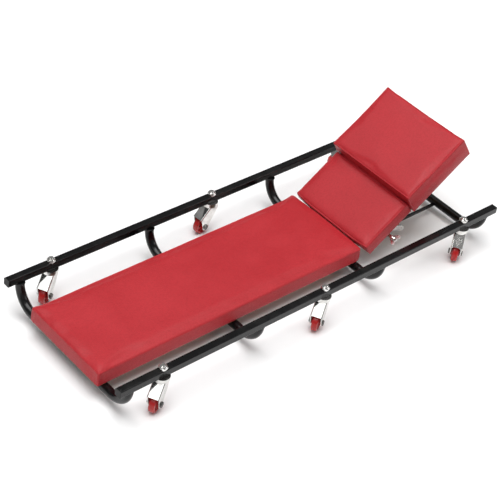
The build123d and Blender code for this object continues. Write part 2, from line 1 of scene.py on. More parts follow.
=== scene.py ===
"""The looks of a low wheeled creeper: black tube frame, red vinyl pads and red swivel casters.

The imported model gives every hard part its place. This script dresses those parts, and makes the
pads, the wheels and the small finishing pieces around them.
"""

import json
import logging
import math
from collections.abc import Callable
from dataclasses import dataclass
from enum import Enum

import bmesh
import bpy
from mathutils import Matrix, Vector, noise

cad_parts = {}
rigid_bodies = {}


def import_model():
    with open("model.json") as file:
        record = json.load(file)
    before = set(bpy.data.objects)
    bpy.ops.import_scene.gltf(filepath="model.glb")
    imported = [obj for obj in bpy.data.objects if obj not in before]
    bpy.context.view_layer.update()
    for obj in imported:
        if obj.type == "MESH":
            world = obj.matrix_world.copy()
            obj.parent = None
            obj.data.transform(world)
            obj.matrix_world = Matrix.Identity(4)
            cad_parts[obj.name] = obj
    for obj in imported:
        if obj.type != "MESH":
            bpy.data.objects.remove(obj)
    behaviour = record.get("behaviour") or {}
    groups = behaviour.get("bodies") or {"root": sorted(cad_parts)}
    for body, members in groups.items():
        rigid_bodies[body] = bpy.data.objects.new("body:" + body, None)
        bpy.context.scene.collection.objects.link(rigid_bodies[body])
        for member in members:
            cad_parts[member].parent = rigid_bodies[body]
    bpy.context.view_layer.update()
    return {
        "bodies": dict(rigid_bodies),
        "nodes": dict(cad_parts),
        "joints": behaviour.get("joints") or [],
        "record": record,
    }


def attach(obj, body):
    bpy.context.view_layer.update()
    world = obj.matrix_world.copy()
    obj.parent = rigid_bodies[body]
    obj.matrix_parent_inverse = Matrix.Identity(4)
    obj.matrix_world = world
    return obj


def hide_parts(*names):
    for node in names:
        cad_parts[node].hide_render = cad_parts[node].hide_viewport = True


LOG = logging.getLogger("creeper")
MM = 0.001


class Body(Enum):
    """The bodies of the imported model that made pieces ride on."""

    FRAME = "frame"
    HEADREST = "headrest"


class Slot(Enum):
    """The record's material slots. Each finish keeps the one that it answers to."""

    BLACK_PAINT = "black_paint"
    ZINC = "zinc"
    DARK_ZINC = "dark_zinc"
    WHEEL_RED = "wheel_red"
    VINYL = "vinyl_red"
    BOARD = "board"


class CasterPlace(Enum):
    """The six caster positions. Each value is what the caster's nodes and bodies end with."""

    FOOT_RIGHT = "foot_right"
    MIDDLE_RIGHT = "middle_right"
    HEAD_RIGHT = "head_right"
    FOOT_LEFT = "foot_left"
    MIDDLE_LEFT = "middle_left"
    HEAD_LEFT = "head_left"


@dataclass(frozen=True)
class PackedModel:
    """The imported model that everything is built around: its parts and its joints."""

    nodes: dict[str, bpy.types.Object]
    joints: dict[str, dict]

    def joint_point(self, name: str) -> Vector:
        """The point that a joint turns about, in metres."""
        return Vector(self.joints[name]["pos_m"])

    def extent(self, node: str, place: Matrix) -> tuple[Vector, Vector]:
        """Measures a part in axes of its own.

        Args:
            node: The part's name.
            place: The axes to measure in.

        Returns:
            Its lowest and highest corners in those axes, in millimetres.
        """
        back = place.inverted()
        points = [back @ vert.co / MM for vert in self.nodes[node].data.vertices]
        low = Vector([min(point[axis] for point in points) for axis in range(3)])
        high = Vector([max(point[axis] for point in points) for axis in range(3)])
        return low, high

    def headrest_axes(self) -> Matrix:
        """The headrest's axes at rest: along its board, across, and away from its underside."""
        flat_turn = self.joints["headrest_tilt"]["range_deg"][0]
        return Matrix.Translation(self.joint_point("headrest_tilt")) @ Matrix.Rotation(
            math.radians(flat_turn), 4, "Y")

    def wheel_axes(self, caster: CasterPlace) -> Matrix:
        """A wheel's axes: the way that it trails, along its axle, and up."""
        joint = self.joints[f"wheel_spin_{caster.value}"]
        heading = math.atan2(-joint["axis"][0], joint["axis"][1])
        return Matrix.Translation(Vector(joint["pos_m"])) @ Matrix.Rotation(heading, 4, "Z")


# ---------------------------------------------------------------------------- shader helpers


class NodeSheet:
    """A thin hand on a node tree: makes nodes, sets their sockets and links them."""

    def __init__(self, tree: bpy.types.NodeTree) -> None:
        """Keeps the tree."""
        self.tree = tree

    def add(self, kind: str, settings: dict | None = None, **sockets: object) -> bpy.types.Node:
        """Makes one node.

        Args:
            kind: The node's type name.
            settings: Properties of the node itself.
            **sockets: Values or output sockets for its inputs; see input_of.

        Returns:
            The new node.
        """
        node = self.tree.nodes.new(kind)
        for key, value in (settings or {}).items():
            setattr(node, key, value)
        for key, value in sockets.items():
            socket = self.input_of(node, key)
            if isinstance(value, bpy.types.NodeSocket):
                self.tree.links.new(value, socket)
            else:
                socket.default_value = value
        return node

    @staticmethod
    def input_of(node: bpy.types.Node, key: str) -> bpy.types.NodeSocket:
        """Finds an input by its name, with underscores for spaces, or as i0, i1 and so on by number."""
        by_number = key.startswith("i") and key[1:].isdigit()
        return node.inputs[int(key[1:]) if by_number else key.replace("_", " ")]

    def link(self, source: bpy.types.NodeSocket, target: bpy.types.NodeSocket) -> None:
        """Joins two sockets."""
        self.tree.links.new(source, target)

    def ramp(self, value: bpy.types.NodeSocket, low: float, high: float,
             out_low: float = 0.0, out_high: float = 1.0) -> bpy.types.NodeSocket:
        """Maps value from low..high to out_low..out_high, held at both ends.

        Args:
            value: The socket to map.
            low: The value that gives out_low.
            high: The value that gives out_high.
            out_low: The result at low.
            out_high: The result at high.

        Returns:
            The mapped output socket.
        """
        node = self.add("ShaderNodeMapRange", {"interpolation_type": "SMOOTHSTEP"}, Value=value,
                        From_Min=low, From_Max=high, To_Min=out_low, To_Max=out_high)
        return node.outputs["Result"]


class Effects:
    """The surface effects that several finishes share, each one a node group."""

    @staticmethod
    def _group(name: str, inputs: dict[str, tuple[str, float]], outputs: dict[str, str]) -> tuple:
        """Starts a node group, or finds it when it was already made.

        Args:
            name: The group's name.
            inputs: Input names, with their socket type and default.
            outputs: Output names, with their socket type.

        Returns:
            The group, and whether it is new.
        """
        if name in bpy.data.node_groups:
            return bpy.data.node_groups[name], False
        group = bpy.data.node_groups.new(name, "ShaderNodeTree")
        for key, (kind, default) in inputs.items():
            socket = group.interface.new_socket(key, in_out="INPUT", socket_type=kind)
            if default is not None:
                socket.default_value = default
        for key, kind in outputs.items():
            group.interface.new_socket(key, in_out="OUTPUT", socket_type=kind)
        return group, True

    @classmethod
    def leather_grain(cls) -> bpy.types.NodeTree:
        """Pebbled grain, as pressed into vinyl: a height, and a mask for painted shade along its crease
        lines.
        """
        group, new = cls._group(
            "LeatherGrain",
            {"Vector": ("NodeSocketVector", None), "Scale": ("NodeSocketFloat", 800.0)},
            {"Height": "NodeSocketFloat", "Crease": "NodeSocketFloat"},
        )
        if not new:
            return group
        sheet = NodeSheet(group)
        got = sheet.add("NodeGroupInput").outputs
        warp = sheet.add("ShaderNodeTexNoise", Vector=got["Vector"], Scale=260.0, Detail=2.0)
        shift = sheet.add("ShaderNodeVectorMath", {"operation": "SCALE"}, i0=warp.outputs["Color"],
                          Scale=0.0011)
        moved = sheet.add("ShaderNodeVectorMath", {"operation": "ADD"}, i0=got["Vector"], i1=shift.outputs[0])
        cells = sheet.add("ShaderNodeTexVoronoi", {"feature": "DISTANCE_TO_EDGE"}, Vector=moved.outputs[0],
                          Scale=got["Scale"])
        pebble = sheet.ramp(cells.outputs["Distance"], 0.0, 0.32)
        fine = sheet.add("ShaderNodeTexNoise", Vector=got["Vector"], Scale=2400.0, Detail=2.0)
        rough = sheet.add("ShaderNodeMath", {"operation": "MULTIPLY_ADD"}, i0=fine.outputs["Fac"], i1=0.22,
                          i2=pebble)
        out = sheet.add("NodeGroupOutput")
        sheet.link(rough.outputs[0], out.inputs["Height"])
        # painted shade mask: 1 along the grain's crease lines, fading to 0 inside each pebble
        sheet.link(sheet.ramp(cells.outputs["Distance"], 0.0, 0.12, 1.0, 0.0), out.inputs["Crease"])
        return group

    @classmethod
    def clouds(cls) -> bpy.types.NodeTree:
        """Slow uneven patches over a surface: a 0 to 1 mask."""
        group, new = cls._group(
            "Clouds",
            {"Vector": ("NodeSocketVector", None), "Scale": ("NodeSocketFloat", 12.0)},
            {"Mask": "NodeSocketFloat"},
        )
        if not new:
            return group
        sheet = NodeSheet(group)
        got = sheet.add("NodeGroupInput").outputs
        big = sheet.add("ShaderNodeTexNoise", Vector=got["Vector"], Scale=got["Scale"], Detail=5.0,
                        Roughness=0.6)
        out = sheet.add("NodeGroupOutput")
        sheet.link(sheet.ramp(big.outputs["Fac"], 0.34, 0.68), out.inputs["Mask"])
        return group

    @classmethod
    def scuffs(cls) -> bpy.types.NodeTree:
        """Scattered fine scratches and rubbed spots: a 0 to 1 mask, mostly 0."""
        group, new = cls._group(
            "Scuffs",
            {"Vector": ("NodeSocketVector", None), "Scale": ("NodeSocketFloat", 60.0),
             "Amount": ("NodeSocketFloat", 0.3)},
            {"Mask": "NodeSocketFloat"},
        )
        if not new:
            return group
        sheet = NodeSheet(group)
        got = sheet.add("NodeGroupInput").outputs
        stretch = sheet.add("ShaderNodeMapping", Vector=got["Vector"])
        stretch.inputs["Scale"].default_value = (0.25, 1.6, 1.0)
        stretch.inputs["Rotation"].default_value = (0.3, 0.5, 0.7)
        lines = sheet.add("ShaderNodeTexNoise", Vector=stretch.outputs[0], Scale=got["Scale"], Detail=8.0,
                          Roughness=0.72)
        patches = sheet.add("ShaderNodeTexNoise", Vector=got["Vector"], Scale=9.0, Detail=3.0)
        thin = sheet.ramp(lines.outputs["Fac"], 0.58, 0.68)
        where = sheet.ramp(patches.outputs["Fac"], 0.45, 0.65)
        both = sheet.add("ShaderNodeMath", {"operation": "MULTIPLY"}, i0=thin, i1=where)
        kept = sheet.add("ShaderNodeMath", {"operation": "MULTIPLY"}, i0=both.outputs[0], i1=got["Amount"])
        out = sheet.add("NodeGroupOutput")
        sheet.link(kept.outputs[0], out.inputs["Mask"])
        return group


@dataclass(frozen=True)
class Finish:
    """One surface finish. A finish makes its material once and hands it out after that."""

    name: str
    slot: Slot | None = None

    def material(self) -> bpy.types.Material:
        """The finish's material, made at first use."""
        if self.name in bpy.data.materials:
            return bpy.data.materials[self.name]
        material = bpy.data.materials.new(self.name)
        material.use_nodes = True
        material.node_tree.nodes.clear()
        sheet = NodeSheet(material.node_tree)
        place = sheet.add("ShaderNodeTexCoord").outputs["Object"]
        shader = self.shade(sheet, place)
        out = sheet.add("ShaderNodeOutputMaterial")
        sheet.link(shader.outputs["BSDF"], out.inputs["Surface"])
        return material

    def shade(self, sheet: NodeSheet, place: bpy.types.NodeSocket) -> bpy.types.Node:
        """Builds the finish's nodes.

        Args:
            sheet: Where the nodes go.
            place: The surface's own coordinates, in metres.

        Returns:
            The Principled BSDF.
        """
        raise NotImplementedError

    @staticmethod
    def mixed(sheet: NodeSheet, mask: bpy.types.NodeSocket, low: tuple, high: tuple) -> bpy.types.NodeSocket:
        """A colour between low and high, by the mask."""
        node = sheet.add("ShaderNodeMix", {"data_type": "RGBA"})
        sheet.link(mask, node.inputs["Factor"])
        node.inputs[6].default_value = (*low, 1.0)
        node.inputs[7].default_value = (*high, 1.0)
        return node.outputs[2]

    @staticmethod
    def tinted(sheet: NodeSheet, mask: bpy.types.NodeSocket, base: bpy.types.NodeSocket,
               tint: tuple) -> bpy.types.NodeSocket:
        """The base colour multiplied by a tint, by the mask."""
        node = sheet.add("ShaderNodeMix", {"data_type": "RGBA", "blend_type": "MULTIPLY"})
        sheet.link(mask, node.inputs["Factor"])
        sheet.link(base, node.inputs[6])
        node.inputs[7].default_value = (*tint, 1.0)
        return node.outputs[2]

    @staticmethod
    def effect(sheet: NodeSheet, group: bpy.types.NodeTree, place: bpy.types.NodeSocket,
               **values: float) -> bpy.types.Node:
        """Places a shared effect in the material, with its own values."""
        node = sheet.add("ShaderNodeGroup", {"node_tree": group})
        sheet.link(place, node.inputs["Vector"])
        for key, value in values.items():
            node.inputs[key].default_value = value
        return node


@dataclass(frozen=True)
class Vinyl(Finish):
    """Grained vinyl cover, slightly faded where it is stretched, with painted shade darkening the grain's
    crease lines.
    """

    colour: tuple = (0.410, 0.017, 0.024)
    faded: tuple = (0.445, 0.022, 0.030)
    # painted shade: the tint and share that darken the grain's crease lines
    crease_shade_tint: tuple = (0.45, 0.30, 0.30)
    crease_shade_share: float = 0.35
    fleck_tint: tuple = (0.74, 0.62, 0.62)
    fleck_share: float = 0.32
    fleck_scale: float = 230.0
    grain: float = 620.0

    def shade(self, sheet: NodeSheet, place: bpy.types.NodeSocket) -> bpy.types.Node:
        """See Finish.shade."""
        grain = self.effect(sheet, Effects.leather_grain(), place, Scale=self.grain)
        cloud = self.effect(sheet, Effects.clouds(), place, Scale=9.0)
        base = self.mixed(sheet, cloud.outputs["Mask"], self.colour, self.faded)
        # painted shade: the colour is darkened along the grain's crease lines
        crease_shade = sheet.ramp(grain.outputs["Crease"], 0.0, 1.0, 0.0, self.crease_shade_share)
        crease_shaded = self.tinted(sheet, crease_shade, base, self.crease_shade_tint)
        fleck = sheet.add("ShaderNodeTexNoise", Vector=place, Scale=self.fleck_scale, Detail=3.0,
                          Roughness=0.6)
        flecks = sheet.ramp(fleck.outputs["Fac"], 0.42, 0.62, 0.0, self.fleck_share)
        mottled = self.tinted(sheet, flecks, crease_shaded, self.fleck_tint)
        soft = sheet.add("ShaderNodeTexNoise", Vector=place, Scale=22.0, Detail=2.0)
        puckers = sheet.add("ShaderNodeBump", Strength=0.3, Distance=0.0012, Height=soft.outputs["Fac"])
        bump = sheet.add("ShaderNodeBump", Strength=0.55, Distance=0.00022, Height=grain.outputs["Height"],
                         Normal=puckers.outputs[0])
        rough = sheet.ramp(cloud.outputs["Mask"], 0.0, 1.0, 0.40, 0.50)
        return sheet.add("ShaderNodeBsdfPrincipled", Base_Color=mottled, Roughness=rough,
                         Normal=bump.outputs[0], Specular_IOR_Level=0.26, Coat_Weight=0.03,
                         Coat_Roughness=0.32)


@dataclass(frozen=True)
class Enamel(Finish):
    """Gloss black enamel over steel, with a little orange peel, dust and fine scuffs."""

    colour: tuple = (0.0025, 0.0025, 0.0028)
    dust: tuple = (0.014, 0.014, 0.0135)
    gloss: float = 0.18

    def shade(self, sheet: NodeSheet, place: bpy.types.NodeSocket) -> bpy.types.Node:
        """See Finish.shade."""
        cloud = self.effect(sheet, Effects.clouds(), place, Scale=26.0)
        scuff = self.effect(sheet, Effects.scuffs(), place, Scale=90.0, Amount=0.6)
        dusty = sheet.ramp(cloud.outputs["Mask"], 0.2, 1.0, 0.0, 0.3)
        worn = sheet.add("ShaderNodeMath", {"operation": "MAXIMUM"}, i0=dusty, i1=scuff.outputs["Mask"])
        base = self.mixed(sheet, worn.outputs[0], self.colour, self.dust)
        peel = sheet.add("ShaderNodeTexNoise", Vector=place, Scale=420.0, Detail=1.0)
        bump = sheet.add("ShaderNodeBump", Strength=0.12, Distance=0.0002, Height=peel.outputs["Fac"])
        rough = sheet.ramp(worn.outputs[0], 0.0, 0.7, self.gloss, self.gloss + 0.2)
        return sheet.add("ShaderNodeBsdfPrincipled", Base_Color=base, Roughness=rough, Normal=bump.outputs[0],
                         Specular_IOR_Level=0.3, Coat_Weight=0.05, Coat_Roughness=0.1)


@dataclass(frozen=True)
class ZincPlate(Finish):
    """Zinc-plated steel: cloudy, slightly brushed and duller in patches."""

    bright: tuple = (0.82, 0.81, 0.79)
    dull: tuple = (0.60, 0.59, 0.57)
    low_rough: float = 0.07
    high_rough: float = 0.2

    def shade(self, sheet: NodeSheet, place: bpy.types.NodeSocket) -> bpy.types.Node:
        """See Finish.shade."""
        cloud = self.effect(sheet, Effects.clouds(), place, Scale=70.0)
        scuff = self.effect(sheet, Effects.scuffs(), place, Scale=240.0, Amount=0.5)
        worn = sheet.add("ShaderNodeMath", {"operation": "MAXIMUM"}, i0=cloud.outputs["Mask"],
                         i1=scuff.outputs["Mask"])
        base = self.mixed(sheet, worn.outputs[0], self.bright, self.dull)
        spangle = sheet.add("ShaderNodeTexVoronoi", Vector=place, Scale=380.0)
        bump = sheet.add("ShaderNodeBump", Strength=0.01, Distance=0.0002, Height=spangle.outputs["Distance"])
        rough = sheet.ramp(worn.outputs[0], 0.0, 1.0, self.low_rough, self.high_rough)
        return sheet.add("ShaderNodeBsdfPrincipled", Base_Color=base, Metallic=1.0, Roughness=rough,
                         Normal=bump.outputs[0])


@dataclass(frozen=True)
class MouldedPlastic(Finish):
    """Moulded plastic with a faint texture, and grime where it meets the floor or the hand."""

    colour: tuple = (0.42, 0.012, 0.014)
    grime: tuple = (0.20, 0.010, 0.011)
    gloss: float = 0.34
    grain: float = 900.0

    def shade(self, sheet: NodeSheet, place: bpy.types.NodeSocket) -> bpy.types.Node:
        """See Finish.shade."""
        cloud = self.effect(sheet, Effects.clouds(), place, Scale=85.0)
        scuff = self.effect(sheet, Effects.scuffs(), place, Scale=180.0, Amount=0.7)
        part = sheet.ramp(cloud.outputs["Mask"], 0.1, 1.0, 0.0, 0.35)
        worn = sheet.add("ShaderNodeMath", {"operation": "MAXIMUM"}, i0=part, i1=scuff.outputs["Mask"])
        base = self.mixed(sheet, worn.outputs[0], self.colour, self.grime)
        fine = sheet.add("ShaderNodeTexNoise", Vector=place, Scale=self.grain, Detail=2.0)
        bump = sheet.add("ShaderNodeBump", Strength=0.15, Distance=0.0002, Height=fine.outputs["Fac"])
        rough = sheet.ramp(worn.outputs[0], 0.0, 0.7, self.gloss, self.gloss + 0.2)
        return sheet.add("ShaderNodeBsdfPrincipled", Base_Color=base, Roughness=rough, Normal=bump.outputs[0],
                         Specular_IOR_Level=0.45)


@dataclass(frozen=True)
class Fibreboard(Finish):
    """Bare pressed fibreboard: short fibres, speckled light and dark."""

    light: tuple = (0.40, 0.27, 0.15)
    dark: tuple = (0.20, 0.12, 0.06)

    def shade(self, sheet: NodeSheet, place: bpy.types.NodeSocket) -> bpy.types.Node:
        """See Finish.shade."""
        stretched = sheet.add("ShaderNodeMapping", Vector=place)
        stretched.inputs["Scale"].default_value = (0.35, 1.0, 1.0)
        stretched.inputs["Rotation"].default_value = (0.0, 0.0, 0.6)
        fibre = sheet.add("ShaderNodeTexNoise", Vector=stretched.outputs[0], Scale=620.0, Detail=6.0,
                          Roughness=0.7)
        cloud = self.effect(sheet, Effects.clouds(), place, Scale=14.0)
        speck = sheet.ramp(fibre.outputs["Fac"], 0.35, 0.65)
        both = sheet.add("ShaderNodeMath", {"operation": "MULTIPLY_ADD"}, i0=cloud.outputs["Mask"], i1=0.25,
                         i2=speck)
        base = self.mixed(sheet, both.outputs[0], self.dark, self.light)
        bump = sheet.add("ShaderNodeBump", Strength=0.3, Distance=0.0003, Height=fibre.outputs["Fac"])
        return sheet.add("ShaderNodeBsdfPrincipled", Base_Color=base, Roughness=0.78, Normal=bump.outputs[0],
                         Specular_IOR_Level=0.3)


VINYL = Vinyl("red_vinyl", Slot.VINYL)
PAINT = Enamel("black_enamel", Slot.BLACK_PAINT)
ZINC = ZincPlate("bright_zinc", Slot.ZINC)
DARK_ZINC = ZincPlate("dark_zinc_plate", Slot.DARK_ZINC, bright=(0.16, 0.155, 0.15),
                      dull=(0.08, 0.078, 0.075), low_rough=0.3, high_rough=0.5)
POLISHED = ZincPlate("polished_steel", None, bright=(0.85, 0.85, 0.86), dull=(0.7, 0.7, 0.7), low_rough=0.08,
                     high_rough=0.2)
WHEEL = MouldedPlastic("wheel_red", Slot.WHEEL_RED)
PLUG = MouldedPlastic("plug_black", None, colour=(0.010, 0.010, 0.010), grime=(0.03, 0.03, 0.03), gloss=0.5)
BOARD = Fibreboard("fibreboard", Slot.BOARD)


# ---------------------------------------------------------------------------- mesh helpers


class Bench:
    """What every maker needs: meshes into objects, smoothing, and applied modifiers."""

    @staticmethod
    def piece(name: str, bm: bmesh.types.BMesh, finish: Finish, body: str, smooth_deg: float = 35.0,
              place: Matrix | None = None) -> bpy.types.Object:
        """Turns a bmesh into a finished piece on a body.

        Args:
            name: The piece's name.
            bm: The shape, in metres. It is freed.
            finish: What it is made of.
            body: The body that it rides on.
            smooth_deg: Edges sharper than this stay crisp.
            place: Where the shape goes, when it was built elsewhere.

        Returns:
            The new object, at the origin with its place in its mesh.
        """
        if place is not None:
            bmesh.ops.transform(bm, matrix=place, verts=bm.verts)
        bmesh.ops.recalc_face_normals(bm, faces=bm.faces)
        obj = Bench.linked(name, bm)
        Bench.smooth(obj.data, smooth_deg)
        obj.data.materials.append(finish.material())
        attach(obj, body)
        LOG.info("piece %s: %d faces", name, len(obj.data.polygons))
        return obj

    @staticmethod
    def linked(name: str, bm: bmesh.types.BMesh) -> bpy.types.Object:
        """Turns a bmesh into an object in the scene, and frees the bmesh."""
        mesh = bpy.data.meshes.new(name)
        bm.to_mesh(mesh)
        bm.free()
        obj = bpy.data.objects.new(name, mesh)
        bpy.context.scene.collection.objects.link(obj)
        return obj

    @staticmethod
    def eased_bar(bm: bmesh.types.BMesh, size: tuple[float, float, float], ease: float,
                  chosen: Callable[[bmesh.types.BMEdge], bool]) -> list[bmesh.types.BMVert]:
        """Adds a small bar at the origin with some of its edges rounded.

        Args:
            bm: Where the bar goes.
            size: Its length, width and height, in millimetres.
            ease: How far the rounding reaches, in millimetres.
            chosen: Which edges are rounded.

        Returns:
            The bar's points.
        """
        made = bmesh.ops.create_cube(bm, size=1.0)["verts"]
        bmesh.ops.scale(bm, verts=made, vec=Vector(size) * MM)
        edges = [e for e in {e for v in made for e in v.link_edges} if chosen(e)]
        got = bmesh.ops.bevel(bm, geom=edges, offset=ease * MM, segments=2, profile=0.5, affect="EDGES",
                              material=-1)
        return list({v for v in [*made, *got["verts"]] if v.is_valid})

    @staticmethod
    def smooth(mesh: bpy.types.Mesh, smooth_deg: float) -> None:
        """Shades a mesh smooth, but leaves edges sharper than smooth_deg crisp."""
        mesh.shade_smooth()
        mesh.set_sharp_from_angle(angle=math.radians(smooth_deg))

    @staticmethod
    def baked(obj: bpy.types.Object) -> bpy.types.Mesh:
        """The object's mesh with its modifiers applied."""
        graph = bpy.context.evaluated_depsgraph_get()
        return bpy.data.meshes.new_from_object(obj.evaluated_get(graph))

    @staticmethod
    def apply(obj: bpy.types.Object) -> None:
        """Applies every modifier that the object has."""
        mesh = Bench.baked(obj)
        obj.modifiers.clear()
        obj.data = mesh

    @staticmethod
    def lathe(profile: list[tuple[float, float]], steps: int) -> bmesh.types.BMesh:
        """Spins a closed profile round the Z axis.

        Args:
            profile: Points as (radius, height), in millimetres.
            steps: How many steps make the turn.

        Returns:
            The turned shape.
        """
        bm = bmesh.new()
        verts = [bm.verts.new((r * MM, 0.0, z * MM)) for r, z in profile]
        edges = [bm.edges.new(pair) for pair in zip(verts, [*verts[1:], verts[0]])]
        bmesh.ops.spin(bm, geom=[*verts, *edges], axis=(0, 0, 1), cent=(0, 0, 0), steps=steps,
                       angle=math.tau, use_merge=True)
        bmesh.ops.remove_doubles(bm, verts=bm.verts, dist=1e-6)
        return bm


# ---------------------------------------------------------------------------- padded pieces


@dataclass
class Padding:
    """One stuffed piece over a board, built flat and level, then put in place."""

    name: str
    node: str
    body: Body
    x_from: float
    x_to: float
    half_width: float
    bottom: float
    top: float
    corner: float = 6.0
    edge: float = 4.0
    cell: float = 6.0
    swell: float = 4.0
    pressure: float = 4.0
    bending: float = 4.0
    stretch: float = 25.0
    slide: float = 0.25
    frames: int = 20
    wrap: float = 9.0
    seam_inset: float = 4.6
    seam_depth: float = 0.9
    seam_half_width: float = 1.3
    end_reach: float = 20.0
    foot_bulge: float = 0.0
    head_bulge: float = 0.0
    crease: float = 0.75
    crease_reach: float = 26.0
    pucker: float = 0.22
    board: tuple[float, float, float] | None = None
    place: Matrix | None = None

    def make(self) -> bpy.types.Object:
        """Makes the piece and hides the plain solid that it stands for.

        Returns:
            The finished padded piece.
        """
        obj = self.rough_form()
        self.inflate(obj)
        self.refine(obj)
        self.press_seams(obj)
        self.cut_pocket(obj)
        return self.finish(obj)

    def block(self, x_from: float, x_to: float, half_width: float, bottom: float, top: float,
              corner: float, edge: float) -> bmesh.types.BMesh:
        """A block with rounded upright corners and, when edge is given, rounded upper edges."""
        bm = bmesh.new()
        bmesh.ops.create_cube(bm, size=1.0)
        bmesh.ops.scale(bm, verts=bm.verts, vec=Vector((x_to - x_from, 2 * half_width, top - bottom)) * MM)
        bmesh.ops.translate(bm, verts=bm.verts,
                            vec=Vector(((x_to + x_from) / 2, 0.0, (top + bottom) / 2)) * MM)
        upright = [e for e in bm.edges if abs(e.verts[0].co.z - e.verts[1].co.z) > 1e-6]
        bmesh.ops.bevel(bm, geom=upright, offset=corner * MM, segments=5, profile=0.5, affect="EDGES",
                        material=-1)
        if edge > 0:
            high = [e for e in bm.edges if min(v.co.z for v in e.verts) > top * MM - 1e-6]
            bmesh.ops.bevel(bm, geom=high, offset=edge * MM, segments=3, profile=0.5, affect="EDGES",
                            material=-1)
        return bm

    def rough_form(self) -> bpy.types.Object:
        """The evenly cut starting shape, a little smaller than the finished piece."""
        slack = 0.2 * self.swell
        low = Vector((self.x_from + slack, slack - self.half_width, self.bottom))
        high = Vector((self.x_to - slack, self.half_width - slack, self.top - 0.4 * slack))
        bm = self.block(low.x, high.x, high.y, low.z, high.z, self.corner, self.edge)
        for axis in range(3):
            margin = self.edge if axis == 2 else self.corner
            start, end = low[axis] + (0.0 if axis == 2 else margin), high[axis] - margin
            count = max(round((end - start) / self.cell), 1)
            normal = Vector([float(k == axis) for k in range(3)])
            for step in range(1, count):
                cut = start + (end - start) * step / count
                bmesh.ops.bisect_plane(bm, geom=[*bm.verts, *bm.edges, *bm.faces], dist=1e-6,
                                       plane_co=normal * cut * MM, plane_no=normal)
        bmesh.ops.recalc_face_normals(bm, faces=bm.faces)
        return Bench.linked(self.name, bm)

    def inflate(self, obj: bpy.types.Object) -> None:
        """Blows the cover up with a cloth simulation, with the rim held where it wraps the board."""
        start = [v.co.copy() for v in obj.data.vertices]
        outward = [v.normal.copy() for v in obj.data.vertices]
        held = obj.vertex_groups.new(name="held")
        rim = (self.bottom + self.wrap) * MM
        held.add([i for i, p in enumerate(start) if p.z < rim], 1.0, "REPLACE")
        cloth = obj.modifiers.new("Cloth", "CLOTH")
        cloth.settings.vertex_group_mass = "held"
        cloth.settings.use_pressure = True
        cloth.settings.uniform_pressure_force = self.pressure
        cloth.settings.effector_weights.gravity = 0.0
        cloth.settings.quality = 6
        cloth.settings.bending_stiffness = self.bending
        cloth.settings.tension_stiffness = self.stretch
        cloth.settings.compression_stiffness = self.stretch
        cloth.collision_settings.use_collision = False
        scene = bpy.context.scene
        for frame in range(1, self.frames + 1):
            scene.frame_set(frame)
        blown = Bench.baked(obj)
        obj.modifiers.clear()
        obj.vertex_groups.clear()
        limit = self.swell * MM
        for vert, before, normal, after in zip(obj.data.vertices, start, outward, blown.vertices):
            move = after.co - before
            out = move.dot(normal)
            kept = 1.0 if out > 0 else self.slide
            move = normal * (kept * out) + (move - normal * out) * self.slide
            if move.length > 1e-9:
                vert.co = before + move.normalized() * limit * math.tanh(move.length / limit)
        bpy.data.meshes.remove(blown)
        scene.frame_set(1)

    def refine(self, obj: bpy.types.Object) -> None:
        """Subdivides the cover once, so that it stays round close up."""
        subdivision = obj.modifiers.new("Fine", "SUBSURF")
        subdivision.levels = subdivision.render_levels = 1
        Bench.apply(obj)

    def inside(self, point: Vector) -> float:
        """How far a point lies inside the piece's outline seen from above, in millimetres."""
        half_x = (self.x_to - self.x_from) / 2 - self.corner
        half_y = self.half_width - self.corner
        x = abs(point.x / MM - (self.x_to + self.x_from) / 2) - half_x
        y = abs(point.y / MM) - half_y
        outside = math.hypot(max(x, 0.0), max(y, 0.0)) + min(max(x, y), 0.0)
        return self.corner - outside

    def press_seams(self, obj: bpy.types.Object) -> None:
        """Presses a seam round the top, inside a low roll, and gathers the cover at its corners."""
        bm = bmesh.new()
        bm.from_mesh(obj.data)
        self.cut_seam_lines(bm)
        bm.normal_update()
        middle = (self.bottom + self.top) / 2
        corners = [Vector((x, y)) for x in (self.x_from, self.x_to)
                   for y in (-self.half_width, self.half_width)]
        moves = []
        for vert in bm.verts:
            height = vert.co.z / MM
            drop = self.seam_drop(vert) if height > middle else 0.0
            shift = Vector((0.0, 0.0, drop))
            if abs(vert.normal.z) < 0.75 and height > self.bottom + 0.5:
                shift += self.gather(vert, corners)
            shift.x += self.end_bulge(vert.co)
            pucker = noise.noise(Vector((vert.co.x * 24, vert.co.y * 24, vert.co.z * 30)))
            shift += vert.normal * (self.pucker * pucker if height > self.bottom + self.wrap else 0.0)
            moves.append(shift * MM)
        for vert, move in zip(bm.verts, moves):
            vert.co += move
        bm.to_mesh(obj.data)
        bm.free()

    def cut_seam_lines(self, bm: bmesh.types.BMesh) -> None:
        """Cuts edges along the seam and beside it, for the seam to be pressed into."""
        for step in (-1.0, -0.5, 0.0, 0.5, 1.0):
            inset = self.seam_inset + step * self.seam_half_width
            for axis, at in ((0, self.x_from + inset), (0, self.x_to - inset),
                             (1, self.half_width - inset), (1, inset - self.half_width)):
                normal = [float(k == axis) for k in range(3)]
                bmesh.ops.bisect_plane(bm, geom=[*bm.verts, *bm.edges, *bm.faces], dist=2e-5,
                                       plane_co=[at * MM * n for n in normal], plane_no=normal)

    def seam_drop(self, vert: bmesh.types.BMVert) -> float:
        """How far the seam, and the roll outside it, move a point of the top up, in millimetres."""
        inside = self.inside(vert.co)
        up = max(vert.normal.z, 0.0)
        across = (inside - self.seam_inset) / self.seam_half_width
        groove = self.seam_depth * math.exp(-2.2 * across * across) * up
        roll = (inside - 0.45 * self.seam_inset) / (0.5 * self.seam_inset)
        return 0.45 * self.seam_depth * math.exp(-2.0 * roll * roll) * up - groove

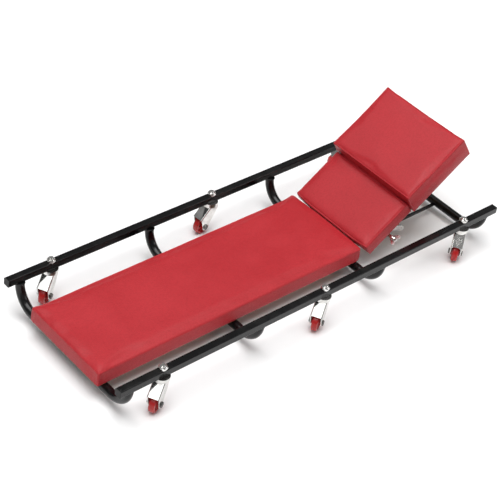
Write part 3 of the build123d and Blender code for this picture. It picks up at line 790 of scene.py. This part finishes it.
    def gather(self, vert: bmesh.types.BMVert, corners: list[Vector]) -> Vector:
        """How the folds gathered at the nearest corner move a point of a side, in millimetres."""
        height = vert.co.z / MM
        near = min((Vector((vert.co.x / MM, vert.co.y / MM)) - c).length for c in corners)
        low = 1.0 - (height - self.bottom) / (self.top - self.bottom)
        fade = math.exp(-((near / self.crease_reach) ** 2)) * low
        wave = math.sin(near * 0.62 + 0.9 * math.sin(height * 0.21))
        return vert.normal * (self.crease * fade * wave)

    def end_bulge(self, point: Vector) -> float:
        """How far the stuffing pushes a point along X at an end, in millimetres."""
        share = (point.z / MM - self.bottom - self.wrap) / (self.top - self.bottom - self.wrap)
        upright = math.sin(math.pi * min(0.15 + 0.5 * share, 1.0)) if share > 0 else 0.0
        across = 1.0 - min(abs(point.y / MM) / self.half_width, 1.0) ** 6
        foot = math.exp(-(((point.x / MM - self.x_from) / self.end_reach) ** 2))
        head = math.exp(-(((self.x_to - point.x / MM) / self.end_reach) ** 2))
        return (self.head_bulge * head - self.foot_bulge * foot) * upright * across

    def cut_pocket(self, obj: bpy.types.Object) -> None:
        """Cuts out the space that the board takes in the piece's underside."""
        if self.board is None:
            return
        x_from, x_to, half_width = self.board
        bm = self.block(x_from - 0.1, x_to + 0.1, half_width + 0.1, self.bottom - 4.0,
                        self.bottom + self.wrap + 0.1, 8.0, 0.0)
        bmesh.ops.recalc_face_normals(bm, faces=bm.faces)
        cutter = Bench.linked("pocket", bm)
        mesh = cutter.data
        cut = obj.modifiers.new("Pocket", "BOOLEAN")
        cut.operation = "DIFFERENCE"
        cut.solver = "EXACT"
        cut.object = cutter
        Bench.apply(obj)
        bpy.data.objects.remove(cutter)
        bpy.data.meshes.remove(mesh)

    def finish(self, obj: bpy.types.Object) -> bpy.types.Object:
        """Dresses the piece and puts it in its place on its body.

        Args:
            obj: The shaped cover.

        Returns:
            The same object.
        """
        if self.place is not None:
            obj.data.transform(self.place)
        obj.data.materials.clear()
        obj.data.materials.append(VINYL.material())
        Bench.smooth(obj.data, 60.0)
        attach(obj, self.body.value)
        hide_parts(self.node)
        LOG.info("padded piece %s: %d faces", self.name, len(obj.data.polygons))
        return obj


@dataclass
class Upholstery:
    """The body pad, the headrest cushion and the pillow."""

    model: PackedModel
    parting: float = 0.4

    def make(self) -> None:
        """Makes the three padded pieces."""
        level, tilted = Matrix.Identity(4), self.model.headrest_axes()
        self.pad("body_pad_cover", "body_pad", "body_board", Body.FRAME, level, edge=3.5, proud_top=0.5,
                 corner=5.0, head_bulge=5.4)
        self.pad("cushion_cover", "headrest_cushion", "headrest_board", Body.HEADREST, tilted,
                 corner=3.0, edge=3.0, cell=5.0, swell=3.0, foot_bulge=5.4, head_bulge=1.0, crease=0.3)
        self.pad("pillow_cover", "headrest_pillow", "headrest_board", Body.HEADREST, tilted,
                 corner=3.0, edge=2.5, cell=5.0, swell=2.5, foot_bulge=1.0, crease=0.3, proud_end=4.0,
                 proud_side=1.2, proud_top=2.0)

    def trim(self) -> None:
        """Makes the folded hems and staples under both boards."""
        for name, node, body, place in (
            ("body", "body_board", Body.FRAME, Matrix.Identity(4)),
            ("headrest", "headrest_board", Body.HEADREST, self.model.headrest_axes()),
        ):
            low, high = self.model.extent(node, place)
            UndersideTrim(name, body, low, high, place).make()

    def pad(self, name: str, node: str, board: str, body: Body, place: Matrix, proud_end: float = 0.0,
            proud_side: float = 0.0, proud_top: float = 0.0, **style: float) -> bpy.types.Object:
        """Makes one padded piece the size of its plain solid.

        Args:
            name: The piece's name.
            node: The plain solid that it stands for.
            board: The board that it is wrapped round.
            body: The body that it rides on.
            place: Its own axes.
            proud_end: How far the stuffing carries the head end past the plain solid, in millimetres.
            proud_side: The same at each side.
            proud_top: The same at the top.
            **style: How it is stuffed and sewn; see Padding.

        Returns:
            The finished padded piece.
        """
        low, high = self.model.extent(node, place)
        board_low, board_high = self.model.extent(board, place)
        return Padding(name, node, body, low.x + self.parting, high.x - self.parting + proud_end,
                       high.y + proud_side, low.z, high.z + proud_top,
                       board=(board_low.x, board_high.x, board_high.y), place=place, **style).make()


@dataclass
class UndersideTrim:
    """The cover's hem, folded in under a board, with the row of staples that holds it."""

    name: str
    body: Body
    board_low: Vector
    board_high: Vector
    place: Matrix
    hem_width: float = 17.0
    hem_thickness: float = 0.5
    hem_inset: float = 1.5
    hem_cuts: int = 40
    hem_wave: float = 1.6
    board_gap: float = 0.02
    staple_pitch: float = 26.0
    staple_span: float = 10.0
    staple_wire: float = 0.55
    staple_bend: float = 0.35

    def make(self) -> None:
        """Makes the hem and its staples."""
        Bench.piece(f"{self.name}_hem", self.hem(), VINYL, self.body.value, 40.0, self.place)
        Bench.piece(f"{self.name}_staples", self.staples(), ZINC, self.body.value, 40.0, self.place)

    def ring(self, inset: float) -> list[Vector]:
        """The four corners of the board's outline, drawn in by inset, in millimetres."""
        low, high = self.board_low, self.board_high
        return [Vector((x, y, low.z)) for x, y in (
            (low.x + inset, low.y + inset), (high.x - inset, low.y + inset),
            (high.x - inset, high.y - inset), (low.x + inset, high.y - inset))]

    def hem(self) -> bmesh.types.BMesh:
        """A flat mitred frame of vinyl against the board's underside, with a wavy cut edge."""
        bm = bmesh.new()
        outer = [bm.verts.new(point * MM) for point in self.ring(self.hem_inset)]
        inner = [bm.verts.new(point * MM) for point in self.ring(self.hem_width)]
        for k in range(4):
            bm.faces.new((outer[k], outer[(k + 1) % 4], inner[(k + 1) % 4], inner[k]))
        along = [e for e in bm.edges if len(e.link_faces) == 1]
        bmesh.ops.subdivide_edges(bm, edges=along, cuts=self.hem_cuts, use_grid_fill=True)
        for vert in bm.verts:
            wave = noise.noise(Vector((vert.co.x * 30, vert.co.y * 30, 0.0)))
            inside = min(vert.co.x / MM - self.board_low.x, self.board_high.x - vert.co.x / MM,
                         vert.co.y / MM - self.board_low.y, self.board_high.y - vert.co.y / MM)
            if inside > self.hem_width - 1.0:
                centre = (self.board_low + self.board_high) / 2 * MM
                vert.co += (centre - vert.co).normalized() * wave * self.hem_wave * MM
            vert.co.z = self.board_low.z * MM - self.board_gap * MM
        bmesh.ops.recalc_face_normals(bm, faces=bm.faces)
        bmesh.ops.solidify(bm, geom=bm.faces[:], thickness=self.hem_thickness * MM)
        drop = max(vert.co.z for vert in bm.verts) - self.board_low.z * MM
        bmesh.ops.translate(bm, verts=bm.verts, vec=(0.0, 0.0, -drop - self.board_gap * MM))
        return bm

    def staples(self) -> bmesh.types.BMesh:
        """Wire staples along the middle of the hem, square to the board's edge."""
        bm = bmesh.new()
        corners = self.ring(0.62 * self.hem_width)
        for start, end in zip(corners, [*corners[1:], corners[0]]):
            count = max(int((end - start).length / self.staple_pitch), 2)
            turn = math.atan2((end - start).y, (end - start).x)
            for k in range(count):
                middle = start.lerp(end, (k + 0.5) / count)
                lean = turn + 0.16 * math.sin(7.3 * k + start.x)
                self.staple(bm, middle, lean)
        return bm

    def staple(self, bm: bmesh.types.BMesh, middle: Vector, turn: float) -> None:
        """Adds one staple's crown.

        Args:
            bm: Where the staple goes.
            middle: Its middle on the board's underside, in millimetres.
            turn: The way that its crown runs, in radians.
        """
        wire = self.staple_wire
        verts = Bench.eased_bar(
            bm, (self.staple_span, 1.5 * wire, wire), self.staple_bend,
            lambda e: abs(e.verts[0].co.y - e.verts[1].co.y) > 1e-7 and max(v.co.z for v in e.verts) < 0)
        bmesh.ops.rotate(bm, verts=verts, cent=(0, 0, 0), matrix=Matrix.Rotation(turn, 3, "Z"))
        lift = self.hem_thickness + 0.3 * wire
        bmesh.ops.translate(bm, verts=verts, vec=(middle - Vector((0.0, 0.0, lift))) * MM)


# ---------------------------------------------------------------------------- casters


@dataclass
class CasterWheel:
    """A moulded wheel: crowned tread with two fine grooves, a dished side with ribs, and a hub."""

    model: PackedModel
    caster: CasterPlace
    half_width: float = 6.5
    dish_depth: float = 3.2
    dish_inner: float = 8.6
    dish_outer: float = 14.3
    bore: float = 4.08
    ribs: int = 6
    rib_width: float = 1.6
    rib_ease: float = 0.5

    def profile(self, radius: float, hub_half: float) -> list[tuple[float, float]]:
        """Half of the section, from the middle of the tread round to the bore.

        Args:
            radius: The tread's radius.
            hub_half: Half of the hub's length.

        Returns:
            Points as (radius, height), in millimetres.
        """
        r, w, dish, inner, outer = radius, self.half_width, self.dish_depth, self.dish_inner, self.dish_outer
        return [
            (r, 0.0), (r, 1.0), (r - 0.3, 1.3), (r - 0.3, 1.6), (r, 1.9), (r, w - 2.8), (r - 0.3, w - 1.4),
            (r - 1.0, w - 0.5), (r - 2.2, w - 0.05), (r - 4.2, w), (r - 4.8, w - 0.4), (r - 5.2, w - 1.4),
            (outer + 0.3, w - dish + 0.4), (outer, w - dish), (inner, w - dish),
            (inner - 0.6, w - dish + 0.4), (7.6, w - 0.8), (7.3, hub_half - 0.5), (6.8, hub_half),
            (self.bore + 0.5, hub_half), (self.bore, hub_half - 0.5),
        ]

    def make(self) -> bpy.types.Object:
        """Makes the wheel in its place.

        Returns:
            The finished wheel.
        """
        node = f"wheel_{self.caster.value}"
        axes = self.model.wheel_axes(self.caster)
        _, high = self.model.extent(node, axes)
        half = self.profile(high.z, high.y)
        bm = Bench.lathe([*half, *[(r, -z) for r, z in reversed(half[1:])]], 72)
        for turn in range(self.ribs):
            for side in (-1, 1):
                self.add_rib(bm, math.tau * turn / self.ribs, side)
        lying = Matrix.Rotation(math.radians(-90), 4, "X")
        obj = Bench.piece(f"wheel_body_{self.caster.value}", bm, WHEEL, f"roller_{self.caster.value}", 32.0,
                          axes @ lying)
        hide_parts(node)
        return obj

    def add_rib(self, bm: bmesh.types.BMesh, angle: float, side: int) -> None:
        """Adds one rounded rib between the hub and the rim.

        Args:
            bm: The wheel, with its axle along Z.
            angle: Where the rib stands, in radians.
            side: 1 or -1, which face of the wheel it is on.
        """
        height = self.dish_depth - 0.8
        length = self.dish_outer - self.dish_inner + 1.8
        verts = Bench.eased_bar(bm, (length, self.rib_width, height), self.rib_ease,
                                lambda e: all(v.co.z * side > 0 for v in e.verts))
        middle = Vector(((self.dish_outer + self.dish_inner) / 2, 0.0,
                         side * (self.half_width - self.dish_depth + height / 2 - 0.3)))
        bmesh.ops.translate(bm, verts=verts, vec=middle * MM)
        bmesh.ops.rotate(bm, verts=verts, cent=(0, 0, 0), matrix=Matrix.Rotation(angle, 3, "Z"))


# ---------------------------------------------------------------------------- frame details


@dataclass
class WeldBeads:
    """Rippled weld beads where the cross tubes meet the rails, with the open tube ends closed."""

    model: PackedModel
    tubes: tuple[str, ...] = ("foot", "hip", "shoulder", "head")
    tube_radius: float = 9.5
    bead_radius: float = 1.5
    bead_inset: float = 0.2

    def make(self) -> bpy.types.Object:
        """Makes every bead as one piece.

        Returns:
            The finished beads.
        """
        whole = bmesh.new()
        for name in self.tubes:
            low, high = self.model.extent(f"cross_tube_{name}", Matrix.Identity(4))
            for side in (-1, 1):
                self.add_bead(whole, Vector(((low.x + high.x) / 2, side * (high.y - self.tube_radius),
                                             high.z - self.bead_inset - self.bead_radius * 0.7)))
        return Bench.piece("weld_beads", whole, PAINT, Body.FRAME.value, 60.0)

    def add_bead(self, whole: bmesh.types.BMesh, centre: Vector) -> None:
        """Adds one bead, and the disc that closes the tube inside it.

        Args:
            whole: Where the bead goes.
            centre: Its middle, in millimetres.
        """
        ring = [(self.tube_radius - self.bead_inset + self.bead_radius * math.cos(a),
                 self.bead_radius * math.sin(a)) for a in (math.tau * k / 8 for k in range(8))]
        bead = Bench.lathe(ring, 60)
        for vert in bead.verts:
            around = math.atan2(vert.co.y, vert.co.x)
            outward = Vector((math.cos(around), math.sin(around), 0.0))
            flat = outward * (self.tube_radius - self.bead_inset) * MM
            vert.co = flat + (vert.co - flat) * (0.92 + 0.14 * math.sin(around * 20.0 + vert.co.z * 900))
        disc = bmesh.ops.create_circle(bead, cap_ends=True, segments=48,
                                       radius=(self.tube_radius - 0.4) * MM)["verts"]
        bmesh.ops.translate(bead, verts=disc, vec=(0, 0, 0.8 * MM))
        bmesh.ops.translate(bead, verts=bead.verts, vec=centre * MM)
        mesh = bpy.data.meshes.new("bead")
        bead.to_mesh(mesh)
        bead.free()
        whole.from_mesh(mesh)
        bpy.data.meshes.remove(mesh)


@dataclass
class FrameDressing:
    """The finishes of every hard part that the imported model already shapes."""

    eased: tuple[str, ...] = ("headrest_bracket", "hinge_lugs", "prop_leg", "stem_nuts", "stem_washers",
                              "body_board", "headrest_board")
    ease_width: float = 0.35

    def finishes(self) -> dict[str, Finish]:
        """The finish of each hard node, by its name."""
        plan: dict[str, Finish] = {}
        for name in ("side_rail_left", "side_rail_right", "cross_tube_foot", "cross_tube_hip",
                     "cross_tube_shoulder", "cross_tube_head", "support_rod_left", "support_rod_right",
                     "hinge_lugs"):
            plan[name] = PAINT
        for name in ("kingpins", "upper_races", "stem_washers", "stem_nuts", "pad_screws", "bracket_screws",
                     "hinge_pins", "headrest_bracket_left", "headrest_bracket_right", "clamp_rod",
                     "clamp_sleeve", "clamp_washers", "wing_nut", "prop_leg_left", "prop_leg_right",
                     "prop_foot_rod"):
            plan[name] = ZINC
        for caster in CasterPlace:
            plan[f"fork_{caster.value}"] = ZINC
            plan[f"axle_{caster.value}"] = DARK_ZINC
            plan[f"race_balls_{caster.value}"] = POLISHED
        plan["end_plugs"] = PLUG
        plan["body_board"] = plan["headrest_board"] = BOARD
        return plan

    def dress(self, nodes: dict[str, bpy.types.Object]) -> None:
        """Puts each finish on its node.

        Args:
            nodes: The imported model's objects, by node name.
        """
        for name, finish in self.finishes().items():
            for material_slot in nodes[name].material_slots:
                material_slot.material = finish.material()
            if name.startswith(self.eased):
                self.ease(nodes[name])
            LOG.info("node %s: %s", name, finish.name)

    def ease(self, node: bpy.types.Object) -> None:
        """Rounds a stamped or turned part's sharp edges a little, as tumbling and plating leave them."""
        weld = node.modifiers.new("Weld", "WELD")
        weld.merge_threshold = 1e-6
        bevel = node.modifiers.new("Ease", "BEVEL")
        bevel.width = self.ease_width * MM
        bevel.segments = 2
        bevel.profile = 0.5
        bevel.limit_method = "ANGLE"
        bevel.angle_limit = math.radians(40)
        bevel.use_clamp_overlap = True


# ---------------------------------------------------------------------------- studio


@dataclass(frozen=True)
class SoftLight:
    """One square area light, aimed at the object."""

    name: str
    place: tuple[float, float, float]
    size: float
    power: float


@dataclass
class Studio:
    """The camera, the pale floor and the soft lights."""

    azimuth: float = -46.74
    elevation: float = 39.04
    roll: float = 9.48
    lens: float = 105.77
    location: tuple[float, float, float] = (-1.7189, -1.5769, 1.9492)
    floor_size: float = 12.0
    floor_colour: tuple[float, float, float] = (0.92, 0.92, 0.92)
    aim_height: float = 0.05
    surround: float = 0.24
    soft_lights: tuple[SoftLight, ...] = (
        SoftLight("overhead", (-0.3, 0.1, 4.2), 3.8, 225.0),
        SoftLight("edge", (2.3, -2.3, 1.9), 1.0, 16.0),
        SoftLight("high_card", (-2.9, -0.6, 3.7), 2.2, 26.0),
    )

    def make(self) -> None:
        """Makes everything that is not part of the object."""
        self.camera()
        self.floor()
        self.lights()

    def camera(self) -> None:
        """Sets the scene's camera."""
        a, e, r = (math.radians(v) for v in (self.azimuth, self.elevation, self.roll))
        back = Vector((math.sin(a) * math.cos(e), -math.cos(a) * math.cos(e), math.sin(e)))
        right = Vector((math.cos(a), math.sin(a), 0.0))
        up = back.cross(right)
        across = math.cos(r) * right + math.sin(r) * up
        upward = -math.sin(r) * right + math.cos(r) * up
        data = bpy.data.cameras.new("camera")
        data.sensor_width = 36.0
        data.lens = self.lens
        camera = bpy.data.objects.new("camera", data)
        bpy.context.scene.collection.objects.link(camera)
        turn = Matrix((across, upward, back)).transposed().to_4x4()
        camera.matrix_world = Matrix.Translation(Vector(self.location)) @ turn
        bpy.context.scene.camera = camera

    def floor(self) -> None:
        """Makes the pale floor."""
        bm = bmesh.new()
        bmesh.ops.create_grid(bm, x_segments=1, y_segments=1, size=self.floor_size)
        floor = Bench.linked("floor", bm)
        material = bpy.data.materials.new("floor_paper")
        material.use_nodes = True
        shader = material.node_tree.nodes["Principled BSDF"]
        shader.inputs["Base Color"].default_value = (*self.floor_colour, 1.0)
        shader.inputs["Roughness"].default_value = 0.9
        shader.inputs["Specular IOR Level"].default_value = 0.1
        floor.data.materials.append(material)

    def lights(self) -> None:
        """Makes the soft overhead light, two side lights and the even surround."""
        target = Vector((0.0, 0.0, self.aim_height))
        for soft in self.soft_lights:
            data = bpy.data.lights.new(soft.name, "AREA")
            data.shape = "SQUARE"
            data.size = soft.size
            data.energy = soft.power
            light = bpy.data.objects.new(soft.name, data)
            bpy.context.scene.collection.objects.link(light)
            light.location = soft.place
            aim = Vector(soft.place) - target
            light.rotation_mode = "QUATERNION"
            light.rotation_quaternion = aim.to_track_quat("Z", "Y")
        world = bpy.data.worlds.new("surround")
        world.use_nodes = True
        background = world.node_tree.nodes["Background"]
        background.inputs["Color"].default_value = (1.0, 1.0, 1.0, 1.0)
        background.inputs["Strength"].default_value = self.surround
        bpy.context.scene.world = world
        bpy.context.scene.view_settings.view_transform = "Standard"


def main() -> None:
    """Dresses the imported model, makes the pieces around it and sets the stage."""
    logging.basicConfig(level=logging.INFO, format="%(message)s")
    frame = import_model()
    model = PackedModel(frame["nodes"], {joint["name"]: joint for joint in frame["joints"]})
    Studio().make()
    FrameDressing().dress(model.nodes)
    upholstery = Upholstery(model)
    upholstery.make()
    upholstery.trim()
    for caster in CasterPlace:
        CasterWheel(model, caster).make()
    WeldBeads(model).make()


if __name__ == "__main__":
    main()
